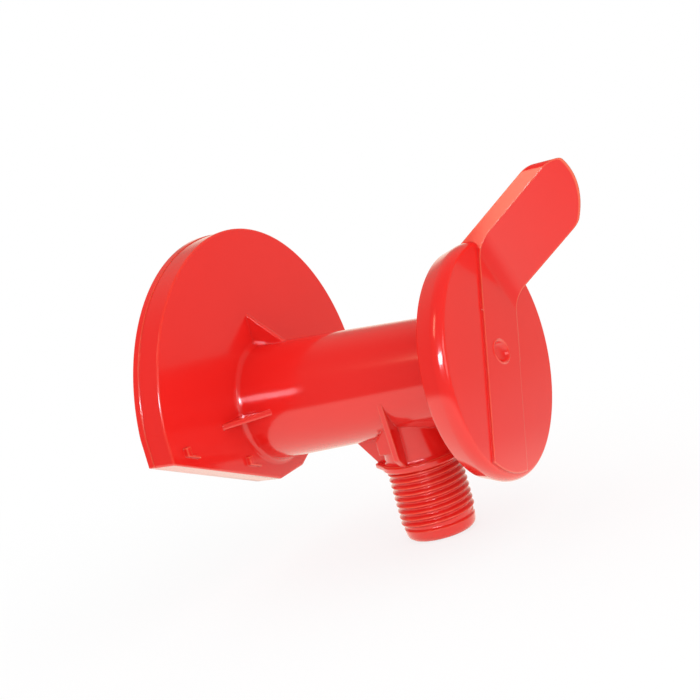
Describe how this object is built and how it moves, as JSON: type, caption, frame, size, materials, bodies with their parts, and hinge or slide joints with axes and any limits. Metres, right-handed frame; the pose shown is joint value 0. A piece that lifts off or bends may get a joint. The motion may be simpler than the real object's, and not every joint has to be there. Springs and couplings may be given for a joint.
{
  "type": "seacock valve",
  "caption": "Plastic seacock: round hull flange, tapered barrel, pipe-threaded outlet at a right angle, and a hollow rotor turned by a round knob with a bent-out paddle.",
  "frame": {"origin": "centre of the flange's back face, on the barrel's axis", "axes": "+X along the barrel from the hull flange to the knob, +Z away from the threaded outlet, so the outlet points to -Z"},
  "size_m": [0.1094, 0.1024, 0.0964],
  "materials": {
    "red_plastic": "glossy injection-moulded red",
    "white_plastic": "satin natural acetal",
    "black_rubber": "matte moulded nitrile rubber",
    "stainless": "stainless steel",
    "brass": "turned and knurled brass"
  },
  "bodies": {
    "body": {"valve_body": "red_plastic", "hull_gasket": "black_rubber", "thrust_washer": "white_plastic", "stem_washer": "stainless"},
    "handle": {"rotor": "white_plastic", "inlet_o_ring": "black_rubber", "outlet_o_ring": "black_rubber", "stem_o_ring": "black_rubber", "shutoff_pad": "black_rubber", "stem_clip": "stainless", "knob": "red_plastic", "knob_insert": "brass", "knob_screw": "stainless", "screw_seal": "black_rubber"}
  },
  "joints": [
    {"name": "handle_turn", "type": "hinge", "parent": "body", "child": "handle", "pos_m": [0.075, 0, 0], "axis": [1, 0, 0], "range_deg": [-65, 25]}
  ]
}
